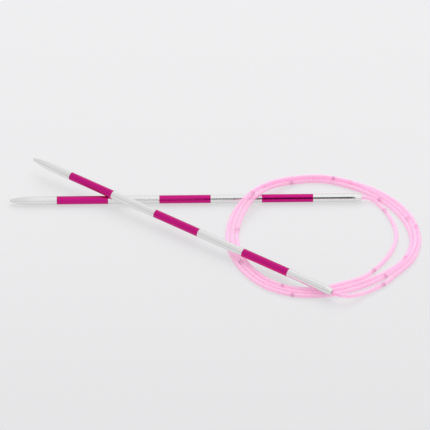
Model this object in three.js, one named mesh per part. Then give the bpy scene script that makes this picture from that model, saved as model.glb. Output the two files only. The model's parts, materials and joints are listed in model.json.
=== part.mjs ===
// A circular knitting needle at rest on a table: two metal needles joined by one flexible cable,
// which lies in a loose coil of a little over three turns.
// Millimetres, +Z up. The origin is on the table, under the middle of the two needles.
import * as THREE from 'three';

// ---------------------------------------------------------------------------------------------
// Needle sizes. Every place along a needle is a distance from its rear mouth towards its point.
const NEEDLE_RADIUS = 3.25 / 2;
const NEEDLE_LENGTH = 137.5;
const FACETS = 48;
const HALF_FACET = Math.PI / FACETS;
const REST_HEIGHT = NEEDLE_RADIUS * Math.cos(HALF_FACET);

// Three coloured bands, each as long as the bare metal between them.
const BAND_LENGTH = 20;
const BAND_THICKNESS = 0.2;
const BAND_REAR_ENDS = [19, 59, 99];
const PIECE_GAP = 0.05;

// The point: a long convex taper that ends in a small round nose. A fullness of 1 is a cone.
const POINT_LENGTH = 13;
const POINT_RADIUS = 0.62;
const POINT_FULLNESS = 3;
const POINT_NOSE_LENGTH = 0.5;
const POINT_STEPS = 12;
const NOSE_STEPS = 5;

// The join: a sleeve whose nose tapers down to the cable and whose spigot is pressed in the shaft.
const JOIN_NOSE_LENGTH = 3.5;
const JOIN_MOUTH_RADIUS = 1.1;
const JOIN_MOUTH_ROUND = 0.15;
const JOIN_SPIGOT_RADIUS = 1.15;
const JOIN_LENGTH = 12;
const JOIN_BORE_RADIUS = 0.88;
const JOIN_STEPS = 6;

// The shaft's blind bore, and the crimp ring on the cable's end behind the join.
const SHAFT_BORE_RADIUS = JOIN_SPIGOT_RADIUS + PIECE_GAP;
const SHAFT_BORE_DEPTH = 18;
const CRIMP_START = JOIN_LENGTH + 0.3;
const CRIMP_LENGTH = 5;
const CRIMP_RADIUS = JOIN_SPIGOT_RADIUS - PIECE_GAP;
const CRIMP_BORE_RADIUS = 0.85;

// ---------------------------------------------------------------------------------------------
// Where the needles lie. Needle a lies flat along X. Needle b lies over it and over the coil.
const MOUTH_A = new THREE.Vector3(68.75, 17.2, REST_HEIGHT);
const TURN_A = 90;
const MOUTH_B = new THREE.Vector3(54.1, -38.55, 3.43);
const TURN_B = 56.3;
const RISE_B = 0.89;

// ---------------------------------------------------------------------------------------------
// The cable, by its centre line.
const CABLE_RADIUS = 1.6 / 2;
const CABLE_SIDES = 8;
const END_GAP = 0.3;
const LANE_WIDTH = 1.8;

// The coil turns clockwise as seen from above, in even steps. Each station gives the radius of
// the middle strand, and how far (0 to 1) the second turn rides up on the turns beside it.
const COIL_CENTRE = { x: 52, y: -5 };
const COIL_START_ANGLE = -58;
const COIL_STEP_ANGLE = 18;
const COIL_STEPS = 59;
const COIL_STATIONS = [
  { radius: 29.1, ride: 0 }, { radius: 29.1, ride: 0 }, { radius: 30.7, ride: 0 },
  { radius: 32.5, ride: 0 }, { radius: 33.7, ride: 0 }, { radius: 34.0, ride: 0 },
  { radius: 34.2, ride: 0 }, { radius: 34.3, ride: 0 }, { radius: 33.8, ride: 0.3 },
  { radius: 33.3, ride: 0.8 }, { radius: 33.9, ride: 1 }, { radius: 34.7, ride: 1 },
  { radius: 34.3, ride: 1 }, { radius: 33.6, ride: 0.7 }, { radius: 33.7, ride: 0.3 },
  { radius: 34.5, ride: 0 }, { radius: 35.4, ride: 0.3 }, { radius: 35.8, ride: 0.7 },
  { radius: 34.8, ride: 0.7 }, { radius: 32.6, ride: 0.35 },
];
const RIDE_HEIGHT = 1.45;
const RIDE_SQUEEZE = 0.75;
// The strands spread a little before needle b's mouth, and all of them arch over needle a.
const SPREAD = { angle: -70, halfWidth: 32, amount: 0.5 };
const ARCH = { angle: 140, halfWidth: 40, amount: 3.7 };

// From needle a's mouth the cable bends round and comes down to the table, inside the coil.
const LEAD_FROM_A = [
  [69.05, 17.2, 1.62], [70.7, 17.12, 1.55], [72.4, 16.6, 1.35], [74.0, 15.45, 1.1],
  [75.9, 12.9, 0.88], [77.8, 9.3, 0.8], [79.4, 5.0, 0.8], [80.5, 0.2, 0.8],
  [80.7, -4.8, 0.8], [79.5, -10.0, 0.8], [77.0, -15.5, 0.8], [72.9, -21.4, 0.8],
];
// From the coil's end to needle b's mouth: the stretch that turns sideways, then the stretch
// that lifts with the needle. The second starts where the first ends.
const BEND_STRETCH = [[75.8, -29.8, 0.8], [72.5, -32.6, 0.8], [68.5, -35.2, 0.9]];
const END_STRETCH = [
  [65.2, -37.3, 1.35], [62.6, -38.8, 1.95], [60.3, -39.7, 2.5], [58.1, -39.95, 2.95],
  [56.1, -39.55, 3.28], [54.35, -38.72, 3.42],
];

// ---------------------------------------------------------------------------------------------
// Materials.
const ALUMINIUM = new THREE.MeshStandardMaterial({ color: 0xd6d6da, roughness: 0.32, metalness: 1 });
const MAGENTA = new THREE.MeshStandardMaterial({ color: 0xa80e6b, roughness: 0.3, metalness: 0.4 });
const BRASS = new THREE.MeshStandardMaterial({ color: 0xc9a55a, roughness: 0.35, metalness: 1 });
const PINK = new THREE.MeshStandardMaterial({ color: 0xf3b4d6, roughness: 0.3, metalness: 0 });

function point2(radius, along) {
  return new THREE.Vector2(radius, along);
}

// Turns a profile about the needle's axis, with a flat facet underneath.
function turned(name, profile, material) {
  const mesh = new THREE.Mesh(new THREE.LatheGeometry(profile, FACETS, HALF_FACET), material);
  mesh.name = name;
  return mesh;
}

// The convex taper of the point and its round nose, from the full radius to the axis.
function pointProfile() {
  const profile = [];
  const taperStart = NEEDLE_LENGTH - POINT_LENGTH;
  const noseStart = NEEDLE_LENGTH - POINT_NOSE_LENGTH;
  for (let i = 0; i <= POINT_STEPS; i += 1) {
    const t = i / POINT_STEPS;
    const radius = POINT_RADIUS + (NEEDLE_RADIUS - POINT_RADIUS) * (1 - t ** POINT_FULLNESS);
    profile.push(point2(radius, taperStart + (noseStart - taperStart) * t));
  }
  for (let i = 1; i < NOSE_STEPS; i += 1) {
    const angle = (i / NOSE_STEPS) * (Math.PI / 2);
    profile.push(point2(POINT_RADIUS * Math.cos(angle), noseStart + POINT_NOSE_LENGTH * Math.sin(angle)));
  }
  profile.push(point2(0, NEEDLE_LENGTH));
  return profile;
}

// The shaft, with its bore at the rear and a shallow recess for each band.
function shaft(name) {
  const recessRadius = NEEDLE_RADIUS - BAND_THICKNESS - PIECE_GAP;
  const profile = [
    point2(0, SHAFT_BORE_DEPTH),
    point2(SHAFT_BORE_RADIUS, SHAFT_BORE_DEPTH),
    point2(SHAFT_BORE_RADIUS, JOIN_NOSE_LENGTH + PIECE_GAP),
    point2(NEEDLE_RADIUS, JOIN_NOSE_LENGTH + PIECE_GAP),
  ];
  for (const rear of BAND_REAR_ENDS) {
    profile.push(
      point2(NEEDLE_RADIUS, rear),
      point2(recessRadius, rear),
      point2(recessRadius, rear + BAND_LENGTH),
      point2(NEEDLE_RADIUS, rear + BAND_LENGTH),
    );
  }
  return turned(name, [...profile, ...pointProfile()], ALUMINIUM);
}

function ring(name, innerRadius, outerRadius, start, end, material) {
  const profile = [
    point2(innerRadius, start),
    point2(outerRadius, start),
    point2(outerRadius, end),
    point2(innerRadius, end),
    point2(innerRadius, start),
  ];
  return turned(name, profile, material);
}

function band(name, rear) {
  const start = rear + PIECE_GAP;
  const end = rear + BAND_LENGTH - PIECE_GAP;
  return ring(name, NEEDLE_RADIUS - BAND_THICKNESS, NEEDLE_RADIUS, start, end, MAGENTA);
}

// The join sleeve: a rounded mouth, a nose that swells to the needle's radius, and the spigot.
function join(name) {
  const profile = [
    point2(JOIN_BORE_RADIUS, 0),
    point2(JOIN_MOUTH_RADIUS - JOIN_MOUTH_ROUND, 0),
  ];
  for (let i = 0; i <= JOIN_STEPS; i += 1) {
    const t = i / JOIN_STEPS;
    const radius = JOIN_MOUTH_RADIUS + (NEEDLE_RADIUS - JOIN_MOUTH_RADIUS) * Math.sin(t * (Math.PI / 2));
    profile.push(point2(radius, JOIN_MOUTH_ROUND + (JOIN_NOSE_LENGTH - JOIN_MOUTH_ROUND) * t));
  }
  profile.push(
    point2(JOIN_SPIGOT_RADIUS, JOIN_NOSE_LENGTH),
    point2(JOIN_SPIGOT_RADIUS, JOIN_LENGTH),
    point2(JOIN_BORE_RADIUS, JOIN_LENGTH),
    point2(JOIN_BORE_RADIUS, 0),
  );
  return turned(name, profile, ALUMINIUM);
}

function crimp(name) {
  return ring(name, CRIMP_BORE_RADIUS, CRIMP_RADIUS, CRIMP_START, CRIMP_START + CRIMP_LENGTH, BRASS);
}

// One whole needle, with its mouth at the given place, turned about Z and tipped up by rise.
function needle(name, mouth, turn, rise) {
  const group = new THREE.Group();
  group.add(shaft(`${name}_shaft`));
  BAND_REAR_ENDS.forEach((rear, i) => group.add(band(`${name}_band_${i + 1}`, rear)));
  group.add(join(`${name}_join`));
  group.add(crimp(`${name}_crimp`));
  group.position.copy(mouth);
  group.rotation.set(THREE.MathUtils.degToRad(rise), 0, THREE.MathUtils.degToRad(turn), 'ZXY');
  return group;
}

// A smooth hump in angle: 1 at its middle, 0 from halfWidth degrees on.
function hump(shape, angle) {
  const off = THREE.MathUtils.euclideanModulo(angle - shape.angle + 180, 360) - 180;
  if (Math.abs(off) >= shape.halfWidth) return 0;
  return shape.amount * 0.5 * (1 + Math.cos((Math.PI * off) / shape.halfWidth));
}

// The centre of the cable at one step of the coil. Each full turn lies one lane further out.
function coilPoint(step) {
  const angle = COIL_START_ANGLE - COIL_STEP_ANGLE * step;
  const turnIndex = Math.floor(step / COIL_STATIONS.length);
  const station = COIL_STATIONS[step % COIL_STATIONS.length];
  const lane = LANE_WIDTH - RIDE_SQUEEZE * station.ride ** 2 + hump(SPREAD, angle);
  const radius = station.radius + (turnIndex - 1) * lane;
  const ride = turnIndex === 1 ? RIDE_HEIGHT * station.ride : 0;
  const radians = THREE.MathUtils.degToRad(angle);
  return new THREE.Vector3(
    COIL_CENTRE.x + radius * Math.cos(radians),
    COIL_CENTRE.y + radius * Math.sin(radians),
    CABLE_RADIUS + hump(ARCH, angle) + ride,
  );
}

function coilPoints() {
  const points = [];
  for (let step = 0; step <= COIL_STEPS; step += 1) points.push(coilPoint(step));
  return points;
}

// A curve that is stepped evenly from point to point, so that neighbouring turns stay parallel.
class PointPath extends THREE.CatmullRomCurve3 {
  getUtoTmapping(u) {
    return u;
  }
}

// A stretch of cable, whose first and last points are drawn in by half the gap between pieces.
function cableStretch(name, points, startGap, endGap) {
  const ends = points.map((point) => point.clone());
  const last = ends.length - 1;
  ends[0].addScaledVector(points[1].clone().sub(points[0]).normalize(), startGap);
  ends[last].addScaledVector(points[last - 1].clone().sub(points[last]).normalize(), endGap);
  const section = new THREE.Shape();
  for (let i = 0; i < CABLE_SIDES; i += 1) {
    const angle = (2 * Math.PI * i) / CABLE_SIDES;
    section[i === 0 ? 'moveTo' : 'lineTo'](CABLE_RADIUS * Math.cos(angle), CABLE_RADIUS * Math.sin(angle));
  }
  section.closePath();
  const geometry = new THREE.ExtrudeGeometry(section, {
    steps: last,
    extrudePath: new PointPath(ends),
  });
  const mesh = new THREE.Mesh(geometry, PINK);
  mesh.name = name;
  return mesh;
}

function toPoints(list) {
  return list.map(([x, y, z]) => new THREE.Vector3(x, y, z));
}

const coil = coilPoints();
const bendStretch = [coil[coil.length - 1], ...toPoints(BEND_STRETCH)];
const endStretch = [bendStretch[bendStretch.length - 1], ...toPoints(END_STRETCH)];

const group = new THREE.Group();
group.add(needle('needle_a', MOUTH_A, TURN_A, 0));
group.add(needle('needle_b', MOUTH_B, TURN_B, RISE_B));
group.add(cableStretch('cable', [...toPoints(LEAD_FROM_A), ...coil], 0, END_GAP / 2));
group.add(cableStretch('cable_bend', bendStretch, END_GAP / 2, END_GAP / 2));
group.add(cableStretch('cable_end', endStretch, END_GAP / 2, 0));

export default group;
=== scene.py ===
import json
import math

import bmesh
import bpy
from mathutils import Matrix, Vector


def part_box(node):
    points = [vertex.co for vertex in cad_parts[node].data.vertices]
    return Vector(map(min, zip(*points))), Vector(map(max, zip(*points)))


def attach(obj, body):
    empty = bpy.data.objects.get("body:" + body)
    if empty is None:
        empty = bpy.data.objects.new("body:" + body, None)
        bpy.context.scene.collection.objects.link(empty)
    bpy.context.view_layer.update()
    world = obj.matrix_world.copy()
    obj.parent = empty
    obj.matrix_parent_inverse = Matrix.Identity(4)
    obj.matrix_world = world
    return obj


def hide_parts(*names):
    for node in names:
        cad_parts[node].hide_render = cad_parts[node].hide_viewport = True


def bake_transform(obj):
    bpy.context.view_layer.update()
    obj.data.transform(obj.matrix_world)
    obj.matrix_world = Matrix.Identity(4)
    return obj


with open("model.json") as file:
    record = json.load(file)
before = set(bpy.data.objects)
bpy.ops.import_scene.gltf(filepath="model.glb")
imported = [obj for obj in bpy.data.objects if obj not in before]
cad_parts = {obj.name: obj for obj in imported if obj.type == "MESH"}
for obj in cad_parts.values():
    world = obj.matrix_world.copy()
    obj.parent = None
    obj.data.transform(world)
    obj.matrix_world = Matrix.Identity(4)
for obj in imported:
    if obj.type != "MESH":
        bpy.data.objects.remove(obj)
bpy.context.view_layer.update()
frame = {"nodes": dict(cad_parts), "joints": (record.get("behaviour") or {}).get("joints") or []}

# The looks of the circular knitting needle, in the CAD frame: metres, +Z up, table at z = 0.
# The camera and the cable come first, then the needles, their materials and the studio.

scene = bpy.context.scene

# ------------------------------------------------------------------------------- the camera
CAMERA_TARGET = Vector((0.01135, 0.00946, 0.0))
CAMERA_DISTANCE = 0.8157
CAMERA_ELEVATION = math.radians(41.15)
CAMERA_AZIMUTH = math.radians(-0.84)
CAMERA_LENS_MM = 175.8
SENSOR_WIDTH_MM = 36.0


def make_camera():
    """Looks at the object as the photograph does, from above and a little to the left."""
    back = Vector((
        math.sin(CAMERA_AZIMUTH) * math.cos(CAMERA_ELEVATION),
        -math.cos(CAMERA_AZIMUTH) * math.cos(CAMERA_ELEVATION),
        math.sin(CAMERA_ELEVATION),
    ))
    data = bpy.data.cameras.new("camera")
    data.lens = CAMERA_LENS_MM
    data.sensor_width = SENSOR_WIDTH_MM
    camera = bpy.data.objects.new("camera", data)
    camera.location = CAMERA_TARGET + back * CAMERA_DISTANCE
    camera.rotation_mode = "QUATERNION"
    camera.rotation_quaternion = (-back).to_track_quat("-Z", "Y")
    scene.collection.objects.link(camera)
    scene.camera = camera


make_camera()

# -------------------------------------------------------------------------- where things are
# Sizes of the needles, as in the CAD source. Places along a needle are from its rear mouth.
NEEDLE_RADIUS = 0.001625
NEEDLE_LENGTH = 0.1375
BAND_LENGTH = 0.020
BAND_THICKNESS = 0.0002
BAND_REAR_ENDS = (0.019, 0.059, 0.099)
POINT_LENGTH = 0.013
POINT_RADIUS = 0.00062
POINT_FULLNESS = 3
POINT_NOSE_LENGTH = 0.0005
JOIN_NOSE_LENGTH = 0.0035
JOIN_MOUTH_RADIUS = 0.0011
JOIN_SPIGOT_RADIUS = 0.00115
JOIN_LENGTH = 0.012
JOIN_BORE_RADIUS = 0.00088
SHAFT_BORE_RADIUS = 0.0012
SHAFT_BORE_DEPTH = 0.018
CRIMP_REAR_END = 0.0123
CRIMP_LENGTH = 0.005


def centre(node):
    low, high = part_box(node)
    return (low + high) / 2


class Axis:
    """A needle's axis as the CAD has it, found from the centres of its first and last bands."""

    def __init__(self, name):
        first, last = centre(f"{name}_band_1"), centre(f"{name}_band_3")
        self.forward = (last - first).normalized()
        self.mouth = first - self.forward * (BAND_REAR_ENDS[0] + BAND_LENGTH / 2)

    def at(self, along):
        return self.mouth + self.forward * along

    def matrix(self):
        """Places a piece made along +X from the mouth onto this axis, its +Z side up."""
        side = Vector((0, 0, 1)).cross(self.forward).normalized()
        up = self.forward.cross(side)
        turn = Matrix((self.forward, side, up)).transposed()
        return Matrix.Translation(self.mouth) @ turn.to_4x4()


AXES = {name: Axis(name) for name in ("needle_a", "needle_b")}

# ------------------------------------------------------------------- the cable's centre line
CABLE_RADIUS = 0.0008
LANE_WIDTH = 0.0018
COIL_CENTRE = (0.052, -0.005)
COIL_START_ANGLE = -58
COIL_STEP_ANGLE = 18
COIL_STEPS = 59
# The radius of the middle strand, and how far (0 to 1) the second turn rides up.
COIL_STATIONS = (
    (0.0291, 0), (0.0291, 0), (0.0307, 0), (0.0325, 0), (0.0337, 0),
    (0.0340, 0), (0.0342, 0), (0.0343, 0), (0.0338, 0.3), (0.0333, 0.8),
    (0.0339, 1), (0.0347, 1), (0.0343, 1), (0.0336, 0.7), (0.0337, 0.3),
    (0.0345, 0), (0.0354, 0.3), (0.0358, 0.7), (0.0348, 0.7), (0.0326, 0.35),
)
RIDE_HEIGHT = 0.00145
RIDE_SQUEEZE = 0.00075
SPREAD = {"angle": -70, "half_width": 32, "amount": 0.0005}
ARCH = {"angle": 140, "half_width": 40, "amount": 0.0037}
LEAD_FROM_A = (
    (0.06905, 0.0172, 0.00162), (0.0707, 0.01712, 0.00155), (0.0724, 0.0166, 0.00135),
    (0.0740, 0.01545, 0.0011), (0.0759, 0.0129, 0.00088), (0.0778, 0.0093, 0.0008),
    (0.0794, 0.0050, 0.0008), (0.0805, 0.0002, 0.0008), (0.0807, -0.0048, 0.0008),
    (0.0795, -0.0100, 0.0008), (0.0770, -0.0155, 0.0008), (0.0729, -0.0214, 0.0008),
)
BEND_STRETCH = ((0.0758, -0.0298, 0.0008), (0.0725, -0.0326, 0.0008), (0.0685, -0.0352, 0.0009))
END_STRETCH = (
    (0.0652, -0.0373, 0.00135), (0.0626, -0.0388, 0.00195), (0.0603, -0.0397, 0.0025),
    (0.0581, -0.03995, 0.00295), (0.0561, -0.03955, 0.00328), (0.05435, -0.03872, 0.00342),
)
# Inside each needle the cable runs on through the join and the crimp ring.
INSIDE_PLACES = (0.0015, 0.005, 0.009, 0.013, CRIMP_REAR_END + CRIMP_LENGTH)


def hump(shape, angle):
    """A smooth hump in angle: its amount at its middle, 0 from half_width degrees on."""
    off = (angle - shape["angle"] + 180) % 360 - 180
    if abs(off) >= shape["half_width"]:
        return 0.0
    return shape["amount"] * 0.5 * (1 + math.cos(math.pi * off / shape["half_width"]))


def coil_point(step):
    """The centre of the cable at one step of the coil, each turn one lane further out."""
    angle = COIL_START_ANGLE - COIL_STEP_ANGLE * step
    turn_index = step // len(COIL_STATIONS)
    radius, ride = COIL_STATIONS[step % len(COIL_STATIONS)]
    radius += (turn_index - 1) * (LANE_WIDTH - RIDE_SQUEEZE * ride ** 2 + hump(SPREAD, angle))
    height = CABLE_RADIUS + hump(ARCH, angle) + (RIDE_HEIGHT * ride if turn_index == 1 else 0)
    return Vector((
        COIL_CENTRE[0] + radius * math.cos(math.radians(angle)),
        COIL_CENTRE[1] + radius * math.sin(math.radians(angle)),
        height,
    ))


def route():
    """The points that the whole cable follows, from inside needle a to inside needle b."""
    inside_a = [AXES["needle_a"].at(place) for place in reversed(INSIDE_PLACES)]
    inside_b = [AXES["needle_b"].at(place) for place in INSIDE_PLACES]
    coil = [coil_point(step) for step in range(COIL_STEPS + 1)]
    points = [*LEAD_FROM_A, *coil, *BEND_STRETCH, *END_STRETCH]
    return inside_a + [Vector(point) for point in points] + inside_b


def spline(points, steps):
    """A centripetal Catmull-Rom curve through the points, as the CAD's is."""
    first, last = 2 * points[0] - points[1], 2 * points[-1] - points[-2]
    held = [first, *points, last]
    line = []
    for p0, p1, p2, p3 in zip(held, held[1:], held[2:], held[3:]):
        t1 = (p1 - p0).length ** 0.5
        t2 = t1 + (p2 - p1).length ** 0.5
        t3 = t2 + (p3 - p2).length ** 0.5
        for step in range(steps):
            t = t1 + (t2 - t1) * step / steps
            a1 = p0.lerp(p1, t / t1)
            a2 = p1.lerp(p2, (t - t1) / (t2 - t1))
            a3 = p2.lerp(p3, (t - t2) / (t3 - t2))
            b1 = a1.lerp(a2, t / t2)
            b2 = a2.lerp(a3, (t - t1) / (t3 - t1))
            line.append(b1.lerp(b2, (t - t1) / (t2 - t1)))
    return line + [points[-1]]


def evenly_spaced(line, step):
    """The same line with its points one step apart along it."""
    spaced, behind = [line[0]], 0.0
    for a, b in zip(line, line[1:]):
        length = (b - a).length
        while behind + length >= step:
            share = (step - behind) / length
            a = a.lerp(b, share)
            length *= 1 - share
            behind = 0.0
            spaced.append(a)
        behind += length
    return spaced


SPLINE_STEPS = 24
RING_STEP = 0.0008


def cable_line():
    """The cable's centre line, which nowhere sinks into the table."""
    line = spline(route(), SPLINE_STEPS)
    for point in line:
        point.z = max(point.z, CABLE_RADIUS)
    return evenly_spaced(line, RING_STEP)


CABLE_LINE = cable_line()


def nearest_ring(point, first=0):
    """The ring of the cable nearest a point, from the given ring on."""
    return min(range(first, len(CABLE_LINE)), key=lambda i: (CABLE_LINE[i] - Vector(point)).length)


# The cable is one piece that bends with two joints, so it is made as three that meet end to end.
# The sideways bend runs from a little before the swing's pivot to a little after it. The bend
# that lifts needle b takes the rest of the way to its mouth.
BEND_AFTER_PIVOT = 0.0112
BEND_PIECE_LENGTH = 0.032
SWING_PIVOT = next(joint["pos_m"] for joint in frame["joints"] if joint["name"] == "needle_b_swing")
MOUTH_A_RING = nearest_ring(AXES["needle_a"].mouth)
PIVOT_RING = nearest_ring(SWING_PIVOT, len(CABLE_LINE) // 2)
BEND_END_RING = PIVOT_RING + round(BEND_AFTER_PIVOT / RING_STEP)
BEND_PIECE_RING = BEND_END_RING - round(BEND_PIECE_LENGTH / RING_STEP)

# ----------------------------------------------------------------------------- mesh helpers


def add_object(name, mesh, matrix=None):
    made = bpy.data.objects.new(name, mesh)
    scene.collection.objects.link(made)
    if matrix is not None:
        made.matrix_world = matrix
    return made


def ring_frames(line):
    """A side and an up direction at each point, turned as little as possible along the line."""
    frames = []
    side = Vector((0, 0, 1))
    for i, point in enumerate(line):
        along = (line[min(i + 1, len(line) - 1)] - line[max(i - 1, 0)]).normalized()
        side = (side - along * side.dot(along)).normalized()
        frames.append((side, along.cross(side)))
    return frames


CABLE_SIDES = 20
CABLE_FRAMES = ring_frames(CABLE_LINE)


def cable_piece(name, first, last, capped_first, capped_last):
    """A tube along the cable's line between two rings. U is metres from needle a's mouth."""
    mesh = bpy.data.meshes.new(name)
    made = bmesh.new()
    uv = made.loops.layers.uv.new("along")
    rings = []
    for i in range(first, last + 1):
        side, up = CABLE_FRAMES[i]
        ring = []
        for k in range(CABLE_SIDES):
            angle = 2 * math.pi * k / CABLE_SIDES
            out = side * math.cos(angle) + up * math.sin(angle)
            ring.append(made.verts.new(CABLE_LINE[i] + out * CABLE_RADIUS))
        rings.append(ring)
    for n, (ring, after) in enumerate(zip(rings, rings[1:])):
        u = (first + n - MOUTH_A_RING) * RING_STEP
        for k in range(CABLE_SIDES):
            j = (k + 1) % CABLE_SIDES
            face = made.faces.new((ring[k], ring[j], after[j], after[k]))
            face.smooth = True
            corners = ((u, k), (u, k + 1), (u + RING_STEP, k + 1), (u + RING_STEP, k))
            for loop, (place, around) in zip(face.loops, corners):
                loop[uv].uv = (place, around / CABLE_SIDES)
    if capped_first:
        made.faces.new(list(reversed(rings[0])))
    if capped_last:
        made.faces.new(rings[-1])
    bmesh.ops.recalc_face_normals(made, faces=made.faces)
    made.to_mesh(mesh)
    made.free()
    return add_object(name, mesh)


# ------------------------------------------------------------------------- material helpers


class Material:
    """A node material with its Principled shader, and short ways to add nodes to it."""

    def __init__(self, name):
        self.data = bpy.data.materials.new(name)
        self.data.use_nodes = True
        self.tree = self.data.node_tree
        self.shader = self.tree.nodes["Principled BSDF"]

    def node(self, kind, inputs=None, **settings):
        made = self.tree.nodes.new(kind)
        for key, value in settings.items():
            setattr(made, key, value)
        for key, value in (inputs or {}).items():
            self.feed(made.inputs[key], value)
        return made

    def feed(self, socket, value):
        if isinstance(value, bpy.types.NodeSocket):
            self.tree.links.new(value, socket)
        else:
            socket.default_value = value

    def set(self, **values):
        for key, value in values.items():
            self.feed(self.shader.inputs[key.replace("_", " ")], value)

    def math(self, operation, *values):
        return self.node("ShaderNodeMath", dict(enumerate(values)), operation=operation).outputs[0]

    def remap(self, value, low, high, to_low, to_high):
        inputs = {"Value": value, "From Min": low, "From Max": high, "To Min": to_low, "To Max": to_high}
        return self.node("ShaderNodeMapRange", inputs, clamp=True).outputs["Result"]

    def mix(self, share, a, b):
        made = self.node("ShaderNodeMix", data_type="RGBA")
        self.feed(made.inputs["Factor"], share)
        self.feed(made.inputs["A"], a)
        self.feed(made.inputs["B"], b)
        return made.outputs["Result"]

    def noise(self, vector, scale, detail=2.0):
        inputs = {"Vector": vector, "Scale": scale, "Detail": detail}
        return self.node("ShaderNodeTexNoise", inputs).outputs["Fac"]

    def stretched(self, scale):
        """The piece's own coordinates, scaled by axis."""
        place = self.node("ShaderNodeTexCoord").outputs["Object"]
        return self.node("ShaderNodeMapping", {"Vector": place, "Scale": scale}).outputs["Vector"]

    def bump(self, height, distance, strength=1.0):
        inputs = {"Height": height, "Distance": distance, "Strength": strength}
        self.feed(self.shader.inputs["Normal"], self.node("ShaderNodeBump", inputs).outputs["Normal"])


def linear(red, green, blue):
    """A linear colour from 8-bit sRGB values."""
    def one(value):
        value /= 255
        return value / 12.92 if value <= 0.04045 else ((value + 0.055) / 1.055) ** 2.4
    return (one(red), one(green), one(blue), 1.0)


# -------------------------------------------------------------------------------- materials
# How a noise is scaled along each axis of a piece. X runs along a needle.
EVEN = (1, 1, 1)
DRAWN_STREAKS = (60, 2400, 2400)
TURNED_RINGS = (4000, 100, 100)
STREAK_DETAIL = 3.0
GRAIN_DETAIL = 4.0

MARK_SPACING = 0.0375
MARK_FIRST = 0.0118
MARK_HALF_WIDTH = 0.0006
MARK_SOFTNESS = 0.0003
# The share of the light that the plastic stops; the rest goes straight through it.
CABLE_BODY = 0.4
# The extra share that it stops where a mark is.
MARK_BODY = 0.35
# A painted glow: light that the plastic gives off itself, in place of the light that scatters inside it
# and comes out again all round.
CABLE_GLOW = 0.13


def pink_nylon():
    """Clear pink plastic that lets light through, with a small printed ring at even steps and a painted
    glow of its own.
    """
    m = Material("pink_nylon")
    place = m.node("ShaderNodeUVMap", uv_map="along").outputs["UV"]
    along = m.node("ShaderNodeSeparateXYZ", {"Vector": place}).outputs["X"]
    from_mark = m.math("PINGPONG", m.math("SUBTRACT", along, MARK_FIRST), MARK_SPACING / 2)
    ring = m.remap(from_mark, MARK_HALF_WIDTH - MARK_SOFTNESS, MARK_HALF_WIDTH + MARK_SOFTNESS, 1, 0)
    speckle = m.noise(m.stretched(EVEN), scale=1400)
    worn = m.remap(speckle, low=0.3, high=0.6, to_low=0.55, to_high=0.9)
    ink = m.math("MULTIPLY", ring, worn)
    cloud = m.remap(m.noise(m.stretched(EVEN), scale=160), low=0.35, high=0.65, to_low=0, to_high=1)
    clear = m.mix(cloud, linear(255, 212, 238), linear(255, 218, 241))
    m.set(
        Base_Color=m.mix(ink, clear, linear(190, 116, 162)),
        Roughness=0.42,
        IOR=1.4,
        # Painted glow: the plastic gives off a little pink light, in place of light scattered inside it.
        Emission_Color=linear(240, 196, 224),
        Emission_Strength=CABLE_GLOW,
    )
    through = m.node("ShaderNodeBsdfTransparent", {"Color": linear(255, 232, 244)})
    body = m.math("MULTIPLY_ADD", ink, MARK_BODY, CABLE_BODY)
    inputs = {0: body, 1: through.outputs["BSDF"], 2: m.shader.outputs["BSDF"]}
    both = m.node("ShaderNodeMixShader", inputs)
    m.feed(m.tree.nodes["Material Output"].inputs["Surface"], both.outputs["Shader"])
    return m.data


def satin_aluminium():
    """Bare metal with fine streaks along it, as drawn and polished tube has."""
    m = Material("satin_aluminium")
    streak = m.noise(m.stretched(DRAWN_STREAKS), scale=1.0, detail=STREAK_DETAIL)
    cloud = m.noise(m.stretched(EVEN), scale=90)
    m.set(
        Base_Color=m.mix(cloud, linear(235, 235, 234), linear(241, 241, 240)),
        Metallic=1.0,
        Roughness=m.remap(streak, low=0.3, high=0.7, to_low=0.13, to_high=0.2),
    )
    m.bump(streak, distance=0.0000015)
    return m.data


def magenta_coating():
    """The same drawn metal, dyed magenta under a thin clear coat."""
    m = Material("magenta_coating")
    streak = m.noise(m.stretched(DRAWN_STREAKS), scale=1.0, detail=STREAK_DETAIL)
    cloud = m.noise(m.stretched(EVEN), scale=120)
    m.set(
        Base_Color=m.mix(cloud, linear(200, 2, 124), linear(207, 5, 132)),
        Metallic=1.0,
        Roughness=m.remap(streak, low=0.3, high=0.7, to_low=0.14, to_high=0.2),
        Coat_Weight=0.35,
        Coat_Roughness=0.06,
    )
    m.bump(streak, distance=0.0000012)
    return m.data


def turned_brass():
    """Brass with the fine rings that a lathe leaves. Only the hidden crimps have it."""
    m = Material("turned_brass")
    rings = m.noise(m.stretched(TURNED_RINGS), scale=1.0)
    m.set(
        Base_Color=m.mix(rings, linear(206, 172, 102), linear(190, 154, 84)),
        Metallic=1.0,
        Roughness=m.remap(rings, low=0.3, high=0.7, to_low=0.28, to_high=0.42),
    )
    return m.data


# How strongly the table's painted glow shines at the front and at the back, and where along y it goes
# from the one to the other.
TABLE_GLOW_FRONT = 0.514
TABLE_GLOW_BACK = 0.56
TABLE_FADE_FROM = -0.12
TABLE_FADE_TO = 0.03


def pale_table():
    """A pale table top with a painted glow: it gives off a little light of its own, a little more
    towards the back, so that shadows on it stay faint.
    """
    m = Material("pale_table")
    place = m.stretched(EVEN)
    grain = m.noise(place, scale=400, detail=GRAIN_DETAIL)
    depth = m.node("ShaderNodeSeparateXYZ", {"Vector": place}).outputs["Y"]
    glow = m.remap(depth, TABLE_FADE_FROM, TABLE_FADE_TO, TABLE_GLOW_FRONT, TABLE_GLOW_BACK)
    m.set(
        Base_Color=m.mix(grain, (0.20, 0.20, 0.203, 1), (0.215, 0.215, 0.218, 1)),
        Roughness=0.7,
        Emission_Color=(0.99, 0.99, 1.0, 1),
        Emission_Strength=glow,
    )
    return m.data


PINK = pink_nylon()
ALUMINIUM = satin_aluminium()
MAGENTA = magenta_coating()
BRASS = turned_brass()

# -------------------------------------------------------------------------------- the cable


def declare(piece):
    piece.data.materials.append(PINK)


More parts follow.
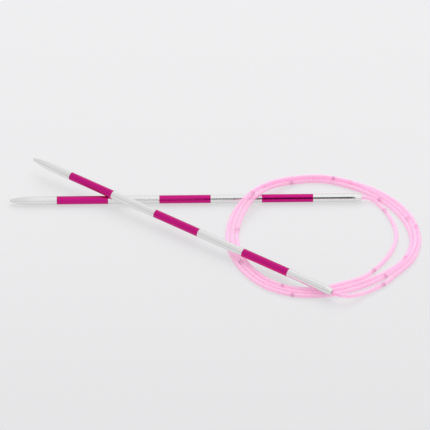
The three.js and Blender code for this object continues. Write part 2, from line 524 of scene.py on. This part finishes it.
def make_cable():
    last_ring = len(CABLE_LINE) - 1
    coil = cable_piece("cable_coil", 0, BEND_PIECE_RING, True, False)
    bend = cable_piece("cable_bend_stretch", BEND_PIECE_RING, BEND_END_RING, False, False)
    end = cable_piece("cable_end_stretch", BEND_END_RING, last_ring, False, True)
    declare(coil)
    declare(bend)
    declare(end)
    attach(coil, "needle_a_and_coil")
    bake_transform(bend)
    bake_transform(end)
    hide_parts("cable")
    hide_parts("cable_bend")
    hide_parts("cable_end")


make_cable()

# ------------------------------------------------------------------------------ the needles
LATHE_SIDES = 72
EDGE_ROUND = 0.00004
ROUND_STEPS = 3
# A corner more open than this isn't rounded.
OPEN_CORNER = math.radians(150)
# A point of a profile nearer to the axis than this is one vertex, not a ring.
ON_AXIS = 1e-7
POINT_STEPS = 28
NOSE_STEPS = 10
JOIN_STEPS = 14


def rounded(profile, radius):
    """A closed profile of (place, radius) pairs with each sharp corner cut to a small arc."""
    points = [Vector(point) for point in profile]
    result = []
    for i, corner in enumerate(points):
        before = points[i - 1] - corner
        after = points[(i + 1) % len(points)] - corner
        cut = min(radius, before.length / 3, after.length / 3)
        if corner.y < radius or before.angle(after) > OPEN_CORNER:
            result.append(corner)
            continue
        start, end = corner + before.normalized() * cut, corner + after.normalized() * cut
        for step in range(ROUND_STEPS + 1):
            t = step / ROUND_STEPS
            result.append(start.lerp(corner, t).lerp(corner.lerp(end, t), t))
    return result


def turned_piece(name, profile, axis, body, material, node):
    """Turns a closed profile about a needle's axis. It stands for its CAD node."""
    mesh = bpy.data.meshes.new(name)
    made = bmesh.new()
    rings = []
    for place, radius in rounded(profile, EDGE_ROUND):
        if radius < ON_AXIS:
            rings.append([made.verts.new((place, 0, 0))] * LATHE_SIDES)
            continue
        ring = []
        for k in range(LATHE_SIDES):
            angle = 2 * math.pi * k / LATHE_SIDES
            ring.append(made.verts.new((place, radius * math.cos(angle), radius * math.sin(angle))))
        rings.append(ring)
    for ring, after in zip(rings, rings[1:] + rings[:1]):
        for k in range(LATHE_SIDES):
            j = (k + 1) % LATHE_SIDES
            corners = list(dict.fromkeys((ring[k], ring[j], after[j], after[k])))
            if len(corners) > 2:
                made.faces.new(corners).smooth = True
    bmesh.ops.recalc_face_normals(made, faces=made.faces)
    made.to_mesh(mesh)
    made.free()
    mesh.materials.append(material)
    piece = add_object(name, mesh, axis.matrix())
    piece.modifiers.new("weighted_normals", "WEIGHTED_NORMAL").keep_sharp = True
    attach(piece, body)
    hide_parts(node)
    return piece


def point_profile():
    """The convex taper of the point and its round nose, from the full radius to the axis."""
    profile = []
    taper_start = NEEDLE_LENGTH - POINT_LENGTH
    nose_start = NEEDLE_LENGTH - POINT_NOSE_LENGTH
    for i in range(POINT_STEPS + 1):
        t = i / POINT_STEPS
        radius = POINT_RADIUS + (NEEDLE_RADIUS - POINT_RADIUS) * (1 - t ** POINT_FULLNESS)
        profile.append((taper_start + (nose_start - taper_start) * t, radius))
    for i in range(1, NOSE_STEPS):
        angle = i / NOSE_STEPS * math.pi / 2
        place = nose_start + POINT_NOSE_LENGTH * math.sin(angle)
        profile.append((place, POINT_RADIUS * math.cos(angle)))
    profile.append((NEEDLE_LENGTH, 0.0))
    return profile


def shaft_profile():
    """The bored shaft, with a shallow recess for each band."""
    recess = NEEDLE_RADIUS - BAND_THICKNESS
    profile = [
        (SHAFT_BORE_DEPTH, 0.0),
        (SHAFT_BORE_DEPTH, SHAFT_BORE_RADIUS),
        (JOIN_NOSE_LENGTH, SHAFT_BORE_RADIUS),
        (JOIN_NOSE_LENGTH, NEEDLE_RADIUS),
    ]
    for rear in BAND_REAR_ENDS:
        front = rear + BAND_LENGTH
        profile += [(rear, NEEDLE_RADIUS), (rear, recess), (front, recess), (front, NEEDLE_RADIUS)]
    return profile + point_profile()


def band_profile(rear):
    front = rear + BAND_LENGTH
    inner = NEEDLE_RADIUS - BAND_THICKNESS
    return [(rear, inner), (rear, NEEDLE_RADIUS), (front, NEEDLE_RADIUS), (front, inner)]


def join_profile():
    """The join sleeve: a nose that swells from the mouth to the needle, and the spigot."""
    profile = [(JOIN_LENGTH, JOIN_BORE_RADIUS), (0.0, JOIN_BORE_RADIUS)]
    for i in range(JOIN_STEPS + 1):
        t = i / JOIN_STEPS
        swell = (NEEDLE_RADIUS - JOIN_MOUTH_RADIUS) * math.sin(t * math.pi / 2)
        profile.append((JOIN_NOSE_LENGTH * t, JOIN_MOUTH_RADIUS + swell))
    return profile + [(JOIN_NOSE_LENGTH, JOIN_SPIGOT_RADIUS), (JOIN_LENGTH, JOIN_SPIGOT_RADIUS)]


def make_needle(name, body):
    axis = AXES[name]
    turned_piece(
        f"{name}_turned_shaft", shaft_profile(), axis, body,
        ALUMINIUM, f"{name}_shaft",
    )
    turned_piece(
        f"{name}_turned_join", join_profile(), axis, body,
        ALUMINIUM, f"{name}_join",
    )
    for i, rear in enumerate(BAND_REAR_ENDS, start=1):
        turned_piece(
            f"{name}_coated_band_{i}", band_profile(rear), axis, body,
            MAGENTA, f"{name}_band_{i}",
        )
    crimp = frame["nodes"][f"{name}_crimp"]
    crimp.data.materials.clear()
    crimp.data.materials.append(BRASS)


make_needle("needle_a", "needle_a_and_coil")
make_needle("needle_b", "needle_b")

# ------------------------------------------------------------------------------- the studio
TABLE_RADIUS = 6.0
TABLE_SIDES = 64
DOME_COLOUR = (1.0, 1.0, 1.01, 1.0)
# The dome's brightness at the horizon and on the left, as shares of that overhead, and where
# each share ends, as a direction's height and its place from left (-1) to right (1).
DOME_LOW = 0.78
DOME_FULL_HEIGHT = 0.7
DOME_LEFT = 0.8
DOME_LEFT_FROM = -0.25
DOME_LEFT_TO = 0.05
SOFTBOX_SIZE = 1.0
SOFTBOX_PLACE = Vector((0.02, 0.87, 1.0))
SOFTBOX_POWER = 12.0
FLAG_SIZE = (0.40, 1.7)
FLAG_PLACE = Vector((0.21, -1.05, 1.07))


def make_table():
    mesh = bpy.data.meshes.new("table")
    made = bmesh.new()
    bmesh.ops.create_circle(made, cap_ends=True, radius=TABLE_RADIUS, segments=TABLE_SIDES)
    made.to_mesh(mesh)
    made.free()
    mesh.materials.append(pale_table())
    table = add_object("table", mesh)


def make_softbox():
    data = bpy.data.lights.new("softbox", "AREA")
    data.shape = "SQUARE"
    data.size = SOFTBOX_SIZE
    data.energy = SOFTBOX_POWER
    light = bpy.data.objects.new("softbox", data)
    light.location = SOFTBOX_PLACE
    light.visible_glossy = False
    light.rotation_mode = "QUATERNION"
    light.rotation_quaternion = (-SOFTBOX_PLACE).to_track_quat("-Z", "Y")
    scene.collection.objects.link(light)


def make_flag():
    """A dark card that draws the thin dark line along needle a, and that no camera sees."""
    mesh = bpy.data.meshes.new("flag")
    made = bmesh.new()
    half_width, half_height = FLAG_SIZE[0] / 2, FLAG_SIZE[1] / 2
    corners = ((-1, -1), (1, -1), (1, 1), (-1, 1))
    made.faces.new([
        made.verts.new(FLAG_PLACE + Vector((x * half_width, 0, z * half_height))) for x, z in corners
    ])
    made.to_mesh(mesh)
    made.free()
    m = Material("flag")
    m.set(Base_Color=(0.05, 0.05, 0.055, 1), Roughness=0.9)
    mesh.materials.append(m.data)
    flag = add_object("flag", mesh)
    flag.visible_camera = False


def make_dome():
    """Soft light from all sides of the room, brightest overhead and a little darker on the left."""
    world = bpy.data.worlds.new("studio")
    world.use_nodes = True
    tree = world.node_tree
    place = tree.nodes.new("ShaderNodeTexCoord").outputs["Generated"]
    split = tree.nodes.new("ShaderNodeSeparateXYZ")
    tree.links.new(place, split.inputs["Vector"])
    limits = (
        ("Z", 0.0, DOME_FULL_HEIGHT, DOME_LOW),
        ("X", DOME_LEFT_FROM, DOME_LEFT_TO, DOME_LEFT),
    )
    shares = []
    for axis, low, high, least in limits:
        share = tree.nodes.new("ShaderNodeMapRange")
        share.inputs["From Min"].default_value = low
        share.inputs["From Max"].default_value = high
        share.inputs["To Min"].default_value = least
        share.inputs["To Max"].default_value = 1.0
        tree.links.new(split.outputs[axis], share.inputs["Value"])
        shares.append(share.outputs["Result"])
    both = tree.nodes.new("ShaderNodeMath")
    both.operation = "MULTIPLY"
    for share, socket in zip(shares, both.inputs):
        tree.links.new(share, socket)
    background = tree.nodes["Background"]
    background.inputs["Color"].default_value = DOME_COLOUR
    tree.links.new(both.outputs["Value"], background.inputs["Strength"])
    scene.world = world


make_table()
make_softbox()
make_flag()
make_dome()
scene.view_settings.view_transform = "Standard"
